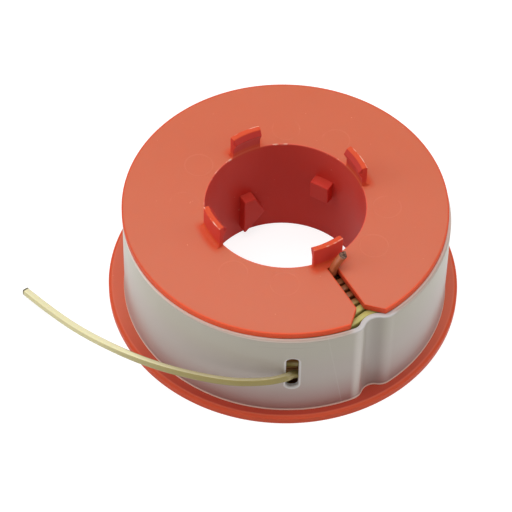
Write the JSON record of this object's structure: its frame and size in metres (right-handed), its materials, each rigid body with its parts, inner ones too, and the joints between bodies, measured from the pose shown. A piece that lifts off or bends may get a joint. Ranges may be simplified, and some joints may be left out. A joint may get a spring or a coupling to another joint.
{
  "type": "trimmer line spool",
  "caption": "Flanged plastic spool with snap tabs and driving lugs, its wound trimmer line held in by a loose slotted band, with the line's free end threaded out.",
  "frame": {"origin": "middle of the spool's underside, on the bore's axis", "axes": "+Z along the bore's axis, from the wide lower flange towards the snap tabs; -Y is the side where the free end leaves the band"},
  "size_m": [0.1227, 0.0996, 0.0416],
  "materials": {
    "spool_plastic": "satin moulded, orange-red",
    "band_plastic": "satin, milky grey",
    "line_nylon": "satin, pale yellow"
  },
  "bodies": {
    "root": {"spool": "spool_plastic", "retaining_band": "band_plastic", "line_winding": "line_nylon", "line_tail": "line_nylon", "line_inner_end": "line_nylon"}
  },
  "joints": []
}
